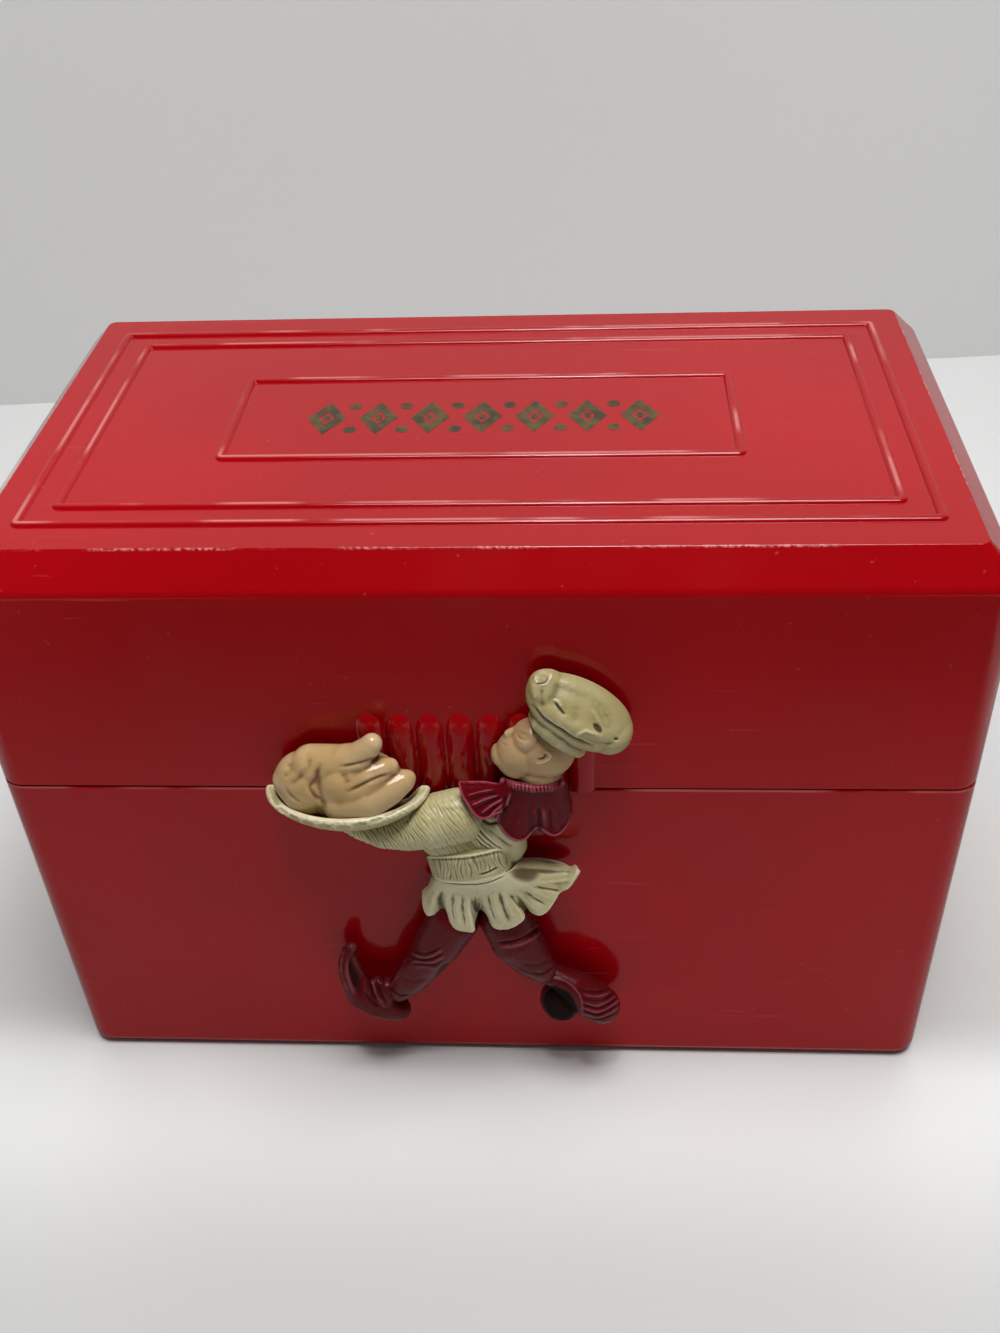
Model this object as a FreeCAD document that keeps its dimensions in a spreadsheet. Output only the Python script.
import FreeCAD, Part
import math
import os
import re
import Sketcher

# Hinged card box of moulded plastic: a tapered base, a hollow lid that turns on two
# pinned hinges at the back, and a small relief figure that stands on the base's front.
# Millimetres.  X runs along the box, Y from front to back, Z up.  The origin is the
# centre of the base's underside.

doc = FreeCAD.newDocument("card_box")

# ---------------------------------------------------------------- driving dimensions
SIZES = [
    # the box
    ("box_width", 140.0, "outside length of the box at the seam"),
    ("box_depth", 79.3, "outside depth of the box at the seam"),
    ("base_height", 60.6, "underside to the base's rim"),
    ("seam_gap", 0.2, "gap between the rim and the closed lid"),
    ("lid_height", 37.8, "lid's lower edge to its top face"),
    ("base_draft", 1.2, "how far each base wall leans in from rim to underside"),
    ("base_wall", 3.0, "wall of the base"),
    ("base_floor", 2.6, "floor of the base"),
    ("lid_wall", 1.8, "side wall of the lid"),
    ("lid_top", 2.2, "top wall of the lid"),
    ("top_bevel", 4.4, "45 degree bevel around the lid's top"),
    ("top_corner_radius", 1.2, "corner radius of the flat top face"),
    ("bevel_softness", 2.0, "fillet between the bevel and the lid's walls"),
    ("foot_round", 2.2, "fillet around the underside"),
    ("lip_height", 2.5, "locating lip above the rim"),
    ("lip_clearance", 0.3, "lip to the inside of the lid"),
    # raised lines on the top
    ("bead_width", 1.0, "width of each raised line"),
    ("bead_rise", 0.5, "height of each raised line"),
    ("outer_frame_inset", 5.2, "top face's edge to the outer line"),
    ("frame_spacing", 4.4, "outer line to inner line"),
    ("panel_width", 75.0, "length of the raised title panel"),
    ("panel_depth", 25.6, "depth of the raised title panel"),
    # thumb grip
    ("reed_count", 8, "vertical reeds of the thumb grip"),
    ("reed_pitch", 4.17, "reed to reed"),
    ("reed_radius", 2.4, "radius of a reed"),
    ("reed_proud", 1.0, "how far a reed stands out of the lid"),
    ("reed_height", 14.2, "length of a reed with its round end"),
    # hinges
    ("hinge_inset", 24.0, "end of the box to the centre of the nearer hinge"),
    ("knuckle_radius", 2.4, "outside radius of a knuckle"),
    ("hinge_clearance", 0.3, "knuckle to the wall behind it"),
    ("lid_knuckle", 8.0, "length of the lid's knuckle"),
    ("base_knuckle", 5.0, "length of each of the base's knuckles"),
    ("knuckle_gap", 0.2, "knuckle to knuckle"),
    ("pin_radius", 0.9, "radius of the hinge pin"),
    ("pin_clearance", 0.05, "pin to the bore of the lid's knuckle"),
    ("open_angle", 105.0, "angle at which the heel meets the back wall"),
    ("stop_clearance", 0.05, "heel to the back wall at the open angle"),
    # the figure
    ("figure_clearance", 0.5, "figure's back to the reeds"),
    ("figure_relief", 5.4, "depth of the figure's torso"),
    ("waist_across", -1.6, "waist from the box's centre line"),
    ("waist_drop", 10.7, "waist below the rim"),
    ("torso_length", 17.9, "waist to neck"),
    ("torso_lean", 60.0, "angle of the torso above the horizontal"),
    ("torso_width", 14.0, "width of the jacket"),
    ("belt_width", 13.0, "width of the waistband"),
    ("belt_height", 5.0, "height of the waistband"),
    ("head_width", 11.4, "brow to nape"),
    ("head_height", 12.4, "chin to crown"),
    ("hat_width", 17.2, "width of the hat's crown"),
    ("hat_height", 7.6, "height of the hat's crown"),
    ("hat_band", 2.1, "height of the hat's band"),
    ("hat_lean", 37.0, "how far the hat leans over"),
    ("ruff_height", 3.2, "height of the crimped ruff"),
    ("scarf_width", 15.6, "width of the neckerchief"),
    ("scarf_height", 12.0, "height of the neckerchief"),
    ("arm_length", 16.6, "shoulder to hand"),
    ("arm_width", 9.4, "width of the sleeve at the shoulder"),
    ("platter_length", 24.0, "length of the platter"),
    ("platter_reach", 7.8, "how far the platter stands out"),
    ("platter_depth", 4.6, "rim of the platter to its underside"),
    ("platter_wall", 1.4, "thickness of the platter"),
    ("bird_length", 19.6, "length of the roast bird"),
    ("bird_height", 10.0, "height of the roast bird"),
    ("drumstick_length", 6.4, "length of the raised drumstick"),
    ("drumstick_width", 3.8, "width of the drumstick where it leaves the body"),
    ("skirt_width", 24.4, "width of the jacket's flared skirt"),
    ("skirt_drop", 10.6, "waistband to hem"),
    ("thigh_width", 7.4, "width of a thigh"),
    ("shin_width", 5.4, "width of a shin"),
    ("left_hip_drop", 9.6, "waist to the left hip"),
    ("right_hip_drop", 11.4, "waist to the right hip"),
    ("left_thigh", 9.8, "left hip to knee"),
    ("left_shin", 10.6, "left knee to ankle"),
    ("right_thigh", 12.2, "right hip to knee"),
    ("shoe_width", 4.6, "width of the turned-up shoe"),
    ("heel_drop", 5.0, "left ankle to heel"),
    ("sole_length", 8.8, "heel to the bend of the toe"),
    ("toe_rise", 7.6, "how far the toe turns up"),
    ("boot_length", 13.8, "right knee to heel"),
    ("boot_width", 6.6, "width of the right boot"),
    ("post_radius", 1.6, "radius of the posts behind the figure"),
]

sizes = doc.addObject("Spreadsheet::Sheet", "sizes")
for row, (alias, value, note) in enumerate(SIZES, start=1):
    sizes.set("A%d" % row, alias)
    sizes.set("B%d" % row, str(value))
    sizes.setAlias("B%d" % row, alias)
    sizes.set("C%d" % row, note)
doc.recompute()


def size(alias):
    """Return one driving dimension from the sheet as a number."""
    return float(sizes.get(alias))


ALIASES = {alias for alias, _, _ in SIZES}


def bound(expression):
    """Write the sheet's words in an expression as references to its cells."""
    return re.sub(r"[a-z]+(_[a-z]+)*", lambda word: "sizes." * (word[0] in ALIASES) + word[0], expression)


def bind(thing, prop, expression):
    """Bind one property to an expression on the sheet's words."""
    thing.setExpression(prop, bound(expression))


def number(expression):
    """Work out an expression on the sheet's words as a number."""
    return float(sizes.evalExpression(bound(expression)))


# ------------------------------------------------------------------ sketches and pads
def origin_plane(body, role):
    """Return one of a body's own origin planes or axes."""
    return [part for part in body.Origin.OriginFeatures if part.Role == role][0]


def new_body(name):
    """Return a new, empty body."""
    return doc.addObject("PartDesign::Body", name)


def new_sketch(body, name, plane, height="0"):
    """Return a sketch on an origin plane, lifted along the plane's normal."""
    sketch = body.newObject("Sketcher::SketchObject", name)
    sketch.AttachmentSupport = [(origin_plane(body, plane), "")]
    sketch.MapMode = "FlatFace"
    bind(sketch, "AttachmentOffset.Base.z", height)
    return sketch


def name_constraint(sketch, kind, label, expression):
    """Add a constraint with a name and bind it to the sheet."""
    index = sketch.addConstraint(kind)
    sketch.renameConstraint(index, label)
    bind(sketch, "Constraints." + label, expression)


def rounded_rectangle(sketch, label, width, depth, radius):
    """Add a centred rectangle with round corners; the sizes are expressions."""
    across, along, corner = number(width) / 2, number(depth) / 2, number(radius)
    point = FreeCAD.Vector
    inner_x, inner_y = across - corner, along - corner
    first = sketch.GeometryCount
    corners = [(inner_x, -inner_y, 270), (inner_x, inner_y, 0), (-inner_x, inner_y, 90), (-inner_x, -inner_y, 180)]
    lines = [
        (point(-inner_x, -along, 0), point(inner_x, -along, 0)),
        (point(across, -inner_y, 0), point(across, inner_y, 0)),
        (point(inner_x, along, 0), point(-inner_x, along, 0)),
        (point(-across, inner_y, 0), point(-across, -inner_y, 0)),
    ]
    for (start, end), (x, y, turn) in zip(lines, corners):
        sketch.addGeometry(Part.LineSegment(start, end), False)
        circle = Part.Circle(point(x, y, 0), point(0, 0, 1), corner)
        low, high = math.radians(turn), math.radians(turn + 90)
        sketch.addGeometry(Part.ArcOfCircle(circle, low, high), False)
    for side in range(4):
        line, arc = first + 2 * side, first + 2 * side + 1
        following = first + 2 * ((side + 1) % 4)
        sketch.addConstraint(Sketcher.Constraint("Tangent", line, 2, arc, 1))
        sketch.addConstraint(Sketcher.Constraint("Tangent", arc, 2, following, 1))
        sketch.addConstraint(Sketcher.Constraint("Horizontal" if side % 2 == 0 else "Vertical", line))
        if side:
            sketch.addConstraint(Sketcher.Constraint("Equal", first + 1, arc))
    sketch.addConstraint(Sketcher.Constraint("Symmetric", first, 1, first + 4, 1, -1, 1))
    name_constraint(sketch, Sketcher.Constraint("Radius", first + 1, corner), label + "_radius", radius)
    span = Sketcher.Constraint("DistanceX", first + 6, 1, first + 2, 1, 2 * across)
    name_constraint(sketch, span, label + "_width", width)
    span = Sketcher.Constraint("DistanceY", first, 1, first + 4, 1, 2 * along)
    name_constraint(sketch, span, label + "_depth", depth)


def pad(body, name, sketch, length, taper=None):
    """Pad a sketch upwards, with a draft angle where one is given."""
    feature = body.newObject("PartDesign::Pad", name)
    feature.Profile = sketch
    bind(feature, "Length", length)
    if taper:
        bind(feature, "TaperAngle", taper)
    doc.recompute()
    return feature


def edges_at(shape, height):
    """Return the names of the edges that lie flat at one height."""
    names = []
    for index, edge in enumerate(shape.Edges, start=1):
        box = edge.BoundBox
        if abs(box.ZMin - height) < 1e-4 and abs(box.ZMax - height) < 1e-4:
            names.append("Edge%d" % index)
    return names


def dress(body, kind, name, base, height, amount):
    """Fillet or chamfer every flat edge at one height of a body."""
    feature = body.newObject("PartDesign::" + kind, name)
    feature.Base = (base, edges_at(base.Shape, number(height)))
    bind(feature, "Radius" if kind == "Fillet" else "Size", amount)
    doc.recompute()
    return feature


def join(kind, name, parts):
    """Fuse or cut primitives and bodies."""
    feature = doc.addObject("Part::" + kind, name)
    if kind == "Cut":
        feature.Base, feature.Tool = parts
    else:
        feature.Shapes = parts
    feature.Refine = True
    doc.recompute()
    return feature


# ------------------------------------------------------------------------------- base
CORNER = "(top_corner_radius + top_bevel)"
LID_BOTTOM = "(base_height + seam_gap)"
TOTAL_HEIGHT = "(base_height + seam_gap + lid_height)"
HINGE_OFFSET = "(knuckle_radius + hinge_clearance)"
HINGE_Y = "(box_depth / 2 + knuckle_radius + hinge_clearance)"
DRAFT_ANGLE = "atan(base_draft / base_height)"


def make_base_shell():
    """Tapered tray with a rounded foot and a locating lip inside its rim."""
    body = new_body("base_outside")
    sketch = new_sketch(body, "base_outline", "XY_Plane")
    width, depth = "box_width - 2 * base_draft", "box_depth - 2 * base_draft"
    rounded_rectangle(sketch, "foot", width, depth, CORNER + " - base_draft")
    tray = pad(body, "base_block", sketch, "base_height", DRAFT_ANGLE)
    foot = dress(body, "Fillet", "base_foot_round", tray, "0", "foot_round")
    lip_sketch = new_sketch(body, "lip_outline", "XY_Plane", "base_height")
    inset = "2 * (lid_wall + lip_clearance)"
    radius = CORNER + " - lid_wall - lip_clearance"
    rounded_rectangle(lip_sketch, "lip", "box_width - " + inset, "box_depth - " + inset, radius)
    pad(body, "locating_lip", lip_sketch, "lip_height")
    cavity = new_body("base_inside")
    sketch = new_sketch(cavity, "cavity_outline", "XY_Plane", "base_floor")
    slope = "2 * base_draft * (1 - base_floor / base_height)"
    width = "box_width - 2 * base_wall - " + slope
    depth = "box_depth - 2 * base_wall - " + slope
    radius = CORNER + " - base_wall - " + slope[4:]
    rounded_rectangle(sketch, "cavity", width, depth, radius)
    pad(cavity, "cavity_block", sketch, "base_height - base_floor", DRAFT_ANGLE)
    neck_sketch = new_sketch(cavity, "neck_outline", "XY_Plane", "base_height - seam_gap")
    inset = "2 * base_wall"
    rounded_rectangle(neck_sketch, "neck", "box_width - " + inset, "box_depth - " + inset, CORNER + " - base_wall")
    pad(cavity, "cavity_neck", neck_sketch, "lip_height + 2 * seam_gap")
    return join("Cut", "base_tray", [body, cavity])



# -------------------------------------------------------------------------------- lid
def make_lid_outside():
    """Lid block with its bevelled top, raised lines and thumb grip."""
    body = new_body("lid_outside")
    sketch = new_sketch(body, "lid_outline", "XY_Plane", LID_BOTTOM)
    rounded_rectangle(sketch, "lid", "box_width", "box_depth", CORNER)
    block = pad(body, "lid_block", sketch, "lid_height")
    bevel = dress(body, "Chamfer", "lid_bevel", block, TOTAL_HEIGHT, "top_bevel")
    dress(body, "Fillet", "lid_shoulder", bevel, TOTAL_HEIGHT + " - top_bevel", "bevel_softness")
    lines = new_sketch(body, "raised_lines", "XY_Plane", TOTAL_HEIGHT)
    top_width, top_depth = "box_width - 2 * top_bevel", "box_depth - 2 * top_bevel"
    inner_inset = "outer_frame_inset + frame_spacing"
    frames = [
        ("outer", top_width + " - 2 * outer_frame_inset", top_depth + " - 2 * outer_frame_inset"),
        ("inner", top_width + " - 2 * (%s)" % inner_inset, top_depth + " - 2 * (%s)" % inner_inset),
        ("panel", "panel_width", "panel_depth"),
    ]
    for label, width, depth in frames:
        rounded_rectangle(lines, label, width, depth, "1.5 * bead_width")
        less = " - 2 * bead_width"
        rounded_rectangle(lines, label + "_inside", width + less, depth + less, "0.5 * bead_width")
    pad(body, "top_lines", lines, "bead_rise")
    return body, add_reeds(body)


def add_reeds(body):
    """Add the row of round-ended reeds to the front of the lid."""
    sketch = new_sketch(body, "reed_profile", "YZ_Plane", "-reed_pitch * (reed_count - 1) / 2")
    axis = "reed_radius - reed_proud - box_depth / 2"
    bind(sketch, "AttachmentOffset.Base.x", axis)
    bind(sketch, "AttachmentOffset.Base.y", LID_BOTTOM)
    radius, height = size("reed_radius"), size("reed_height")
    corners = [(0, 0), (radius, 0), (radius, height - radius), (0, height)]
    points = [FreeCAD.Vector(x, y, 0) for x, y in corners]
    sketch.addGeometry(Part.LineSegment(points[0], points[1]), False)
    sketch.addGeometry(Part.LineSegment(points[1], points[2]), False)
    dome = Part.Circle(FreeCAD.Vector(0, height - radius, 0), FreeCAD.Vector(0, 0, 1), radius)
    sketch.addGeometry(Part.ArcOfCircle(dome, 0, math.pi / 2), False)
    sketch.addGeometry(Part.LineSegment(points[3], points[0]), False)
    for constraint in (
        ("Coincident", 0, 1, -1, 1),
        ("Coincident", 0, 2, 1, 1),
        ("Tangent", 1, 2, 2, 1),
        ("Coincident", 2, 2, 3, 1),
        ("Coincident", 3, 2, 0, 1),
        ("Horizontal", 0),
        ("Vertical", 1),
        ("PointOnObject", 2, 3, -2),
        ("PointOnObject", 3, 1, -2),
    ):
        sketch.addConstraint(Sketcher.Constraint(*constraint))
    name_constraint(sketch, Sketcher.Constraint("DistanceX", 0, 1, 0, 2, radius), "radius", "reed_radius")
    name_constraint(sketch, Sketcher.Constraint("DistanceY", 3, 2, 3, 1, height), "height", "reed_height")
    reed = body.newObject("PartDesign::Revolution", "reed")
    reed.Profile = sketch
    reed.ReferenceAxis = (sketch, ["V_Axis"])
    reed.Angle = 360
    doc.recompute()
    row = body.newObject("PartDesign::LinearPattern", "reeds")
    row.Originals = [reed]
    row.Direction = (origin_plane(body, "X_Axis"), [""])
    bind(row, "Length", "reed_pitch * (reed_count - 1)")
    bind(row, "Occurrences", "reed_count")
    body.Tip = row
    doc.recompute()
    return row


def make_lid_inside():
    """The lid's hollow, with its own bevel so that the wall stays even."""
    body = new_body("lid_inside")
    sketch = new_sketch(body, "hollow_outline", "XY_Plane", LID_BOTTOM)
    inset = " - 2 * lid_wall"
    rounded_rectangle(sketch, "hollow", "box_width" + inset, "box_depth" + inset, CORNER + " - lid_wall")
    block = pad(body, "hollow_block", sketch, "lid_height - lid_top")
    bevel = "top_bevel - lid_wall * (2 - sqrt(2))"
    dress(body, "Chamfer", "hollow_bevel", block, TOTAL_HEIGHT + " - lid_top", bevel)
    return body



# ----------------------------------------------------------------------------- hinges
HINGE_Z = "base_height"
HEEL = "(hinge_clearance - stop_clearance + knuckle_radius * (1 - sin(open_angle))) / -cos(open_angle)"
SIDES = {"left": -1, "right": 1}


def place(thing, corner):
    """Bind a primitive's position to three expressions."""
    for axis, expression in zip("xyz", corner):
        bind(thing, "Placement.Base." + axis, expression)


def block(name, low, high):
    """Return a block between two corners given as expressions."""
    thing = doc.addObject("Part::Box", name)
    for prop, start, end in zip(("Length", "Width", "Height"), low, high):
        bind(thing, prop, "(%s) - (%s)" % (end, start))
    place(thing, low)
    return thing


def rod(name, start, length, radius):
    """Return a cylinder along the hinge axis."""
    thing = doc.addObject("Part::Cylinder", name)
    thing.Placement.Rotation = FreeCAD.Rotation(FreeCAD.Vector(0, 1, 0), 90)
    bind(thing, "Radius", radius)
    bind(thing, "Height", length)
    place(thing, (start, HINGE_Y, HINGE_Z))
    return thing


def knuckle_span(side, which):
    """Return the start and length of a knuckle: the lid's is 0, the base's are -1 and 1."""
    middle = "%d * (box_width / 2 - hinge_inset)" % SIDES[side]
    if which == 0:
        return middle + " - lid_knuckle / 2", "lid_knuckle"
    step = "(lid_knuckle / 2 + knuckle_gap + base_knuckle / 2)"
    return middle + " + %d * %s - base_knuckle / 2" % (which, step), "base_knuckle"


def base_knuckle(side, which):
    """A knuckle that a web carries on the base's back wall, below the rim."""
    name = "base_knuckle_%s_%s" % (side, "outer" if which == SIDES[side] else "inner")
    start, length = knuckle_span(side, which)
    low = (start, "box_depth / 2 - base_wall / 2", HINGE_Z + " - knuckle_radius")
    high = (start + " + " + length, HINGE_Y, HINGE_Z)
    return [rod(name, start, length, "knuckle_radius"), block(name + "_web", low, high)]


def lid_knuckle(side):
    """The lid's knuckle, with a web above the seam and the heel that stops the lid."""
    name = "lid_knuckle_" + side
    start, length = knuckle_span(side, 0)
    end = start + " + " + length
    web_low = (start, "box_depth / 2 - lid_wall / 2", LID_BOTTOM)
    heel_low = (start, HINGE_Y, HINGE_Z + " - knuckle_radius")
    return [
        rod(name, start, length, "knuckle_radius"),
        block(name + "_web", web_low, (end, HINGE_Y, HINGE_Z + " + knuckle_radius")),
        block(name + "_heel", heel_low, (end, HINGE_Y + " + " + HEEL, HINGE_Z)),
    ]


def bores(name, radius, overrun):
    """Both hinges' bores, as one tool that is a little longer than the knuckles."""
    tools = []
    for side in SIDES:
        start, _ = knuckle_span(side, -1)
        length = "lid_knuckle + 2 * (knuckle_gap + base_knuckle + %s)" % overrun
        tools.append(rod(name + "_" + side, "%s - %s" % (start, overrun), length, radius))
    return join("MultiFuse", name, tools)


def make_box():
    """Join the knuckles to the base and the lid and bore them for the pins."""
    knuckles = [part for side in SIDES for which in (-1, 1) for part in base_knuckle(side, which)]
    base = join("MultiFuse", "base_with_knuckles", [make_base_shell()] + knuckles)
    base = join("Cut", "base_box", [base, bores("base_bores", "pin_radius", "knuckle_gap")])
    lid_outside = make_lid_outside()[0]
    shell = join("Cut", "lid_shell", [lid_outside, make_lid_inside()])
    parts = [shell] + [part for side in SIDES for part in lid_knuckle(side)]
    lid = join("MultiFuse", "lid_with_knuckles", parts)
    lid = join("Cut", "lid", [lid, bores("lid_bores", "pin_radius + pin_clearance", "knuckle_gap")])
    return base, lid


def make_pin(side):
    """A plain steel pin, as long as the three knuckles that it joins."""
    start, _ = knuckle_span(side, -1)
    return rod("hinge_pin_" + side, start, "lid_knuckle + 2 * (knuckle_gap + base_knuckle)", "pin_radius")


# ------------------------------------------------------------------------- the figure
# The figure is a relief with a flat back.  It stands clear of the lid's reeds on three
# short posts that meet the base's front wall.  Points are (across, up) in its plane.
FIGURE_BACK = -number("box_depth / 2 + reed_proud + figure_clearance")
OUTWARD = FreeCAD.Vector(0, -1, 0)
RELIEF = size("figure_relief")


def spot(start, length, angle, out=0.0):
    """Return the point at a length and an angle from another, moved outward by out."""
    turn = math.radians(angle)
    across = FreeCAD.Vector(math.cos(turn), 0, math.sin(turn))
    return start + across * length + OUTWARD * out


def ball(centre, radii, lean=0.0):
    """Return an ellipsoid that leans over to the right."""
    stretch = FreeCAD.Matrix()
    stretch.scale(*radii)
    shape = Part.makeSphere(1.0).transformGeometry(stretch)
    shape.rotate(FreeCAD.Vector(), FreeCAD.Vector(0, 1, 0), lean)
    shape.translate(centre)
    return shape


def oval(centre, half_width, half_depth, lean=0.0):
    """Return a flat oval wire, square to the figure's upright when it doesn't lean."""
    stretch = FreeCAD.Matrix()
    stretch.scale(half_width, half_depth, 1.0)
    wire = Part.Wire(Part.makeCircle(1.0))
    wire = wire.transformGeometry(stretch)
    wire.rotate(FreeCAD.Vector(), FreeCAD.Vector(0, 1, 0), lean)
    wire.translate(centre)
    return Part.Wire(wire.Edges)


def loft(sections):
    """Return a solid through oval wires."""
    return Part.makeLoft(sections, True, False)


def limb(stations):
    """Return a round limb through (point, radius) stations, rounded off at both ends."""
    points = [point for point, _ in stations]
    rings = []
    for index, (point, radius) in enumerate(stations):
        along = points[min(index + 1, len(points) - 1)] - points[max(index - 1, 0)]
        rings.append((point, radius, along))
    for end, beside in ((0, 1), (-1, -2)):
        point, radius = stations[end]
        away = (point - points[beside]).normalize()
        for step in (math.radians(35), math.radians(68)):
            cap = (point + away * radius * math.sin(step), radius * math.cos(step), away if end else -away)
            rings.insert(0, cap) if end == 0 else rings.append(cap)
    return loft([Part.Wire(Part.makeCircle(radius, point, along)) for point, radius, along in rings])


def post(point, base):
    """Return a post from the figure's back to the base's front wall."""
    start = FreeCAD.Vector(point.x, FIGURE_BACK - RELIEF / 4, point.z)
    seat = -number("box_depth / 2 - base_draft - base_wall / 3")
    return Part.makeCylinder(size("post_radius"), seat - start.y, start, -OUTWARD).cut(base)


def flat_back(shape):
    """Cut a shape off at the figure's back."""
    room = 200.0
    behind = Part.makeBox(2 * room, room, 2 * room, FreeCAD.Vector(-room, FIGURE_BACK, -room))
    return shape.cut(behind)


def add_piece(name, forms, kept=(), posts=()):
    """Add a figure piece as one solid of several forms, cut to meet the pieces already kept."""
    shape = None
    for form in [flat_back(form) for form in forms] + list(posts):
        for other in kept:
            form = form.cut(other.Shape)
        shape = shape.fuse(form) if shape else form
    piece = doc.addObject("Part::Feature", name)
    piece.Shape = Part.Solid(max(shape.Solids, key=lambda part: part.Volume))
    return piece


# Which way each part runs, or how far it is turned, in degrees from +X towards +Z.
SHOULDER_WAY = number("torso_lean") + 35
ARM_WAY, HAND_WAY = 191, 167
HEAD_WAY, HEAD_TURN, BROW_WAY, CROWN_WAY = 84, 42, 45, 40
SCARF_WAY, SCARF_TURN, RUFF_TURN = -112, 14, 6
BREAST_WAY, BREAST_TURN, THIGH_WAY, DRUMSTICK_WAY = 95, -4, 50, 62
UP, DOWN = 90, 272
BELT_TURN, JACKET_TURNS, SKIRT_TURN, SKIRT_SLOPES = -10, (6, 18, 24), -6, (-25, 10)
LEFT_HIP_WAY, LEFT_THIGH_WAY, LEFT_SHIN_WAY, HEEL_WAY = 256, 241, 244, 258
SOLE_WAY, TOE_WAY = 139, 97
RIGHT_HIP_WAY, RIGHT_THIGH_WAY, RIGHT_SHIN_WAY = 298, 291, 311
BOOT_TIP_WAY, BOOT_TIP_TURN = 160, -14


def make_figure(base):
    """Build the figure from the head down; a later piece is cut to meet an earlier one."""
    waist = FreeCAD.Vector(size("waist_across"), FIGURE_BACK, number("base_height - waist_drop"))
    neck = spot(waist, size("torso_length"), size("torso_lean"))
    shoulder = spot(waist, size("torso_length") * 0.5, SHOULDER_WAY)
    pieces = {}
    pieces.update(make_head(neck))
    pieces.update(make_platter(shoulder, pieces))
    pieces.update(make_torso(waist, neck, shoulder, pieces, base))
    pieces.update(make_legs(waist, pieces, base))
    return pieces


def make_head(neck):
    """Hat, head and neckerchief."""
    head_width, head_height = size("head_width"), size("head_height")
    head = spot(neck, head_height * 0.46, HEAD_WAY, out=RELIEF / 5)
    brow = spot(head, head_height * 0.44, BROW_WAY)
    crown = spot(brow, size("hat_height") * 0.5, CROWN_WAY)
    hat_width, hat_height, hat_lean = size("hat_width"), size("hat_height"), size("hat_lean")
    puff = ball(crown, (hat_width / 2, RELIEF * 0.95, hat_height / 2), hat_lean)
    steps = (-size("hat_band") / 3, 2 * size("hat_band") / 3)
    band = loft([oval(spot(brow, step, UP - hat_lean), head_width / 2, RELIEF, hat_lean) for step in steps])
    hat = add_piece("chef_hat", [puff, band])
    skull = ball(head, (head_width / 2, RELIEF * 0.9, head_height / 2), HEAD_TURN)
    face = add_piece("chef_head", [skull], [hat])
    scarf_width, scarf_height, ruff_height = size("scarf_width"), size("scarf_height"), size("ruff_height")
    middle = spot(neck, scarf_height * 0.42, SCARF_WAY)
    cape = ball(middle, (scarf_width / 2, RELIEF * 1.05, scarf_height / 2), SCARF_TURN)
    collar = spot(neck, ruff_height / 8, UP)
    ruff = ball(collar, (head_width * 0.4, RELIEF * 0.86, ruff_height / 2), RUFF_TURN)
    scarf = add_piece("neckerchief", [cape, ruff], [hat, face])
    return {"chef_hat": hat, "chef_head": face, "neckerchief": scarf}


def make_platter(shoulder, pieces):
    """Roast bird and the deep platter that the hand holds under it."""
    length, reach = size("platter_length"), size("platter_reach")
    depth, wall = size("platter_depth"), size("platter_wall")
    centre = spot(shoulder, size("arm_length"), HAND_WAY)
    dish = loft([
        oval(spot(centre, depth, DOWN), length * 0.2, reach * 0.45),
        oval(spot(centre, depth * 0.56, DOWN), length * 0.38, reach * 0.8),
        oval(centre, length / 2, reach),
    ])
    hollow = loft([
        oval(spot(centre, depth - wall, DOWN), length * 0.18, reach * 0.4),
        oval(spot(centre, depth * 0.56 - wall * 0.8, DOWN), length * 0.34, reach * 0.72),
        oval(spot(centre, wall / 10, UP), length * 0.46, reach * 0.9),
    ])
    platter = add_piece("platter", [dish.cut(hollow)], [pieces["neckerchief"]])
    bird_length, bird_height = size("bird_length"), size("bird_height")
    breast = spot(centre, bird_height * 0.2, BREAST_WAY)
    body = ball(breast, (bird_length / 2, RELIEF * 0.9, bird_height / 2), BREAST_TURN)
    thigh = spot(breast, bird_length * 0.1, THIGH_WAY, out=RELIEF * 0.4)
    long, wide = size("drumstick_length"), size("drumstick_width")
    stations = [(0.0, THIGH_WAY, 0.5), (0.47, THIGH_WAY, 0.4), (1.0, DRUMSTICK_WAY, 0.34)]
    leg = limb([(spot(thigh, long * along, way), wide * radius) for along, way, radius in stations])
    bird = add_piece("roast_bird", [body, leg], [platter, pieces["neckerchief"]])
    return {"platter": platter, "roast_bird": bird}


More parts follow.
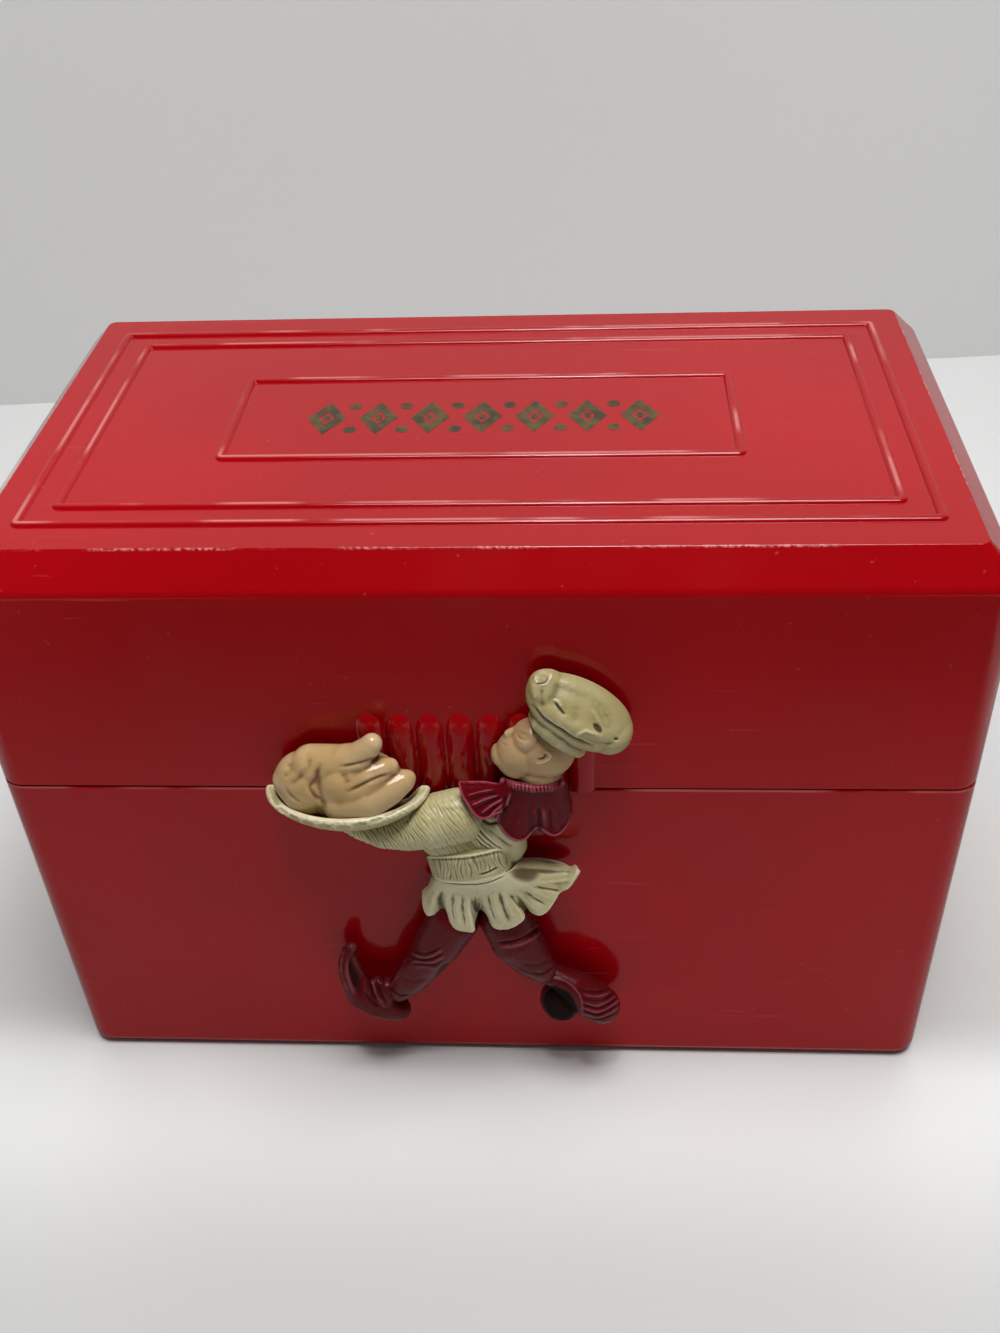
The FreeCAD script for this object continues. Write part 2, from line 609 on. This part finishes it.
def make_torso(waist, neck, shoulder, pieces, base):
    """Waistband, sleeve, jacket and the jacket's flared skirt."""
    belt_width, belt_height = size("belt_width"), size("belt_height")
    rise = [spot(waist, step * belt_height / 2, UP - BELT_TURN) for step in (-1, 1)]
    belt = add_piece("waistband", [loft([oval(point, belt_width / 2, RELIEF, BELT_TURN) for point in rise])])
    arm_length, half_arm = size("arm_length"), size("arm_width") / 2
    stations = [(0.0, 1.0), (0.38, 0.9), (0.7, 0.6), (1.0, 0.26)]
    arm = limb([(spot(shoulder, arm_length * along, ARM_WAY, out=0.6 * half_arm * wide), half_arm * wide)
                for along, wide in stations])
    upper = [pieces[name] for name in ("platter", "neckerchief", "chef_head", "chef_hat")]
    sleeve = add_piece("jacket_sleeve", [arm], [belt] + upper)
    half_width, length, lean = size("torso_width") / 2, size("torso_length"), size("torso_lean")
    body = loft([
        oval(rise[1], belt_width / 2, RELIEF, BELT_TURN),
        oval(spot(waist, length * 0.42, lean), half_width, RELIEF * 1.05, JACKET_TURNS[0]),
        oval(spot(waist, length * 0.62, lean), half_width, RELIEF * 0.95, JACKET_TURNS[1]),
        oval(spot(waist, length * 0.92, lean), half_width * 0.5, RELIEF * 0.7, JACKET_TURNS[2]),
    ])
    stand = post(spot(waist, length * 0.31, lean), base)
    jacket = add_piece("jacket", [body], [belt, sleeve] + upper, [stand])
    skirt_width, drop = size("skirt_width"), size("skirt_drop")
    middle = spot(rise[0], drop * 0.26, SKIRT_TURN)
    flare = ball(middle, (skirt_width / 2, RELIEF * 1.25, drop), SKIRT_TURN)
    left_end = spot(rise[0], belt_width / 2, 2 * UP - BELT_TURN)
    right_end = spot(spot(rise[0], belt_width / 2, -BELT_TURN), drop * 0.23, UP)
    for corner, slope in zip((left_end, right_end), SKIRT_SLOPES):
        above = Part.makeBox(4 * skirt_width, 4 * skirt_width, 4 * skirt_width,
                             FreeCAD.Vector(-2 * skirt_width, -2 * skirt_width, 0))
        above.rotate(FreeCAD.Vector(), FreeCAD.Vector(0, 1, 0), slope)
        above.translate(corner)
        flare = flare.cut(above)
    skirt = add_piece("jacket_skirt", [flare], [belt, sleeve, jacket])
    return {"waistband": belt, "jacket_sleeve": sleeve, "jacket": jacket, "jacket_skirt": skirt}


def make_legs(waist, pieces, base):
    """Two legs in stride, the turned-up shoe and the boot."""
    thigh, shin, skirt = size("thigh_width") / 2, size("shin_width") / 2, pieces["jacket_skirt"]
    left_thigh, left_shin = size("left_thigh"), size("left_shin")
    left_hip = spot(waist, size("left_hip_drop"), LEFT_HIP_WAY, out=0.35 * thigh)
    left_knee = spot(left_hip, left_thigh, LEFT_THIGH_WAY)
    left_ankle = spot(left_knee, left_shin, LEFT_SHIN_WAY)
    foot, sole_length, toe_rise = size("shoe_width") / 2, size("sole_length"), size("toe_rise")
    heel = spot(left_ankle, size("heel_drop"), HEEL_WAY)
    toe = spot(heel, sole_length, SOLE_WAY)
    shoe = limb([
        (heel, foot),
        (spot(heel, sole_length * 0.48, SOLE_WAY), foot * 1.08),
        (toe, foot),
        (spot(toe, toe_rise * 0.55, TOE_WAY), foot * 0.8),
        (spot(toe, toe_rise, UP), foot * 0.45),
    ])
    left_shoe = add_piece("left_shoe", [shoe])
    calf = spot(left_knee, left_shin * 0.47, LEFT_SHIN_WAY)
    leg = limb([(left_hip, thigh), (left_knee, thigh * 0.84), (calf, shin), (left_ankle, shin * 0.8)])
    stand = post(spot(left_knee, left_shin * 0.28, LEFT_SHIN_WAY), base)
    left_leg = add_piece("left_leg", [leg], [left_shoe, skirt, pieces["waistband"]], [stand])
    right_hip = spot(waist, size("right_hip_drop"), RIGHT_HIP_WAY, out=0.35 * thigh)
    right_knee = spot(right_hip, size("right_thigh"), RIGHT_THIGH_WAY)
    boot, length = size("boot_width") / 2, size("boot_length")
    along = [spot(right_knee, length * share, RIGHT_SHIN_WAY) for share in (0.07, 0.44, 0.5, 1.0)]
    shaft = limb([(along[0], boot * 0.86), (along[1], boot), (along[3], boot)])
    front = spot(along[3], boot * 1.8, BOOT_TIP_WAY, out=0.3 * boot)
    tip = ball(front, (boot, RELIEF * 0.9, boot * 1.5), BOOT_TIP_TURN)
    right_boot = add_piece("right_boot", [shaft, tip], (), [post(along[2], base)])
    knee_end = spot(right_hip, size("right_thigh") * 0.49, RIGHT_THIGH_WAY)
    leg = limb([(right_hip, thigh * 1.1), (knee_end, thigh), (right_knee, shin)])
    right_leg = add_piece("right_leg", [leg], [right_boot, left_leg, skirt, pieces["waistband"]])
    return {"left_shoe": left_shoe, "left_leg": left_leg, "right_boot": right_boot, "right_leg": right_leg}


# ----------------------------------------------------------------------- build, check
base_box, lid = make_box()
pins = [make_pin(side) for side in SIDES]
doc.recompute()
figure = make_figure(base_box.Shape)
doc.recompute()
nodes = [base_box, lid] + pins + list(figure.values())

for thing in doc.Objects:
    if "Invalid" in thing.State or "Error" in thing.State:
        raise RuntimeError("%s did not build: %s" % (thing.Name, thing.State))
for node in nodes:
    node.Label = node.Name
    if node.Shape.isNull() or not node.Shape.isValid() or len(node.Shape.Solids) != 1:
        raise RuntimeError("%s is not one sound solid" % node.Label)

os.makedirs("parts", exist_ok=True)
for node in nodes:
    node.Shape.exportStep("parts/%s.step" % node.Label)
    print("%-16s %9.1f mm3" % (node.Label, node.Shape.Volume))
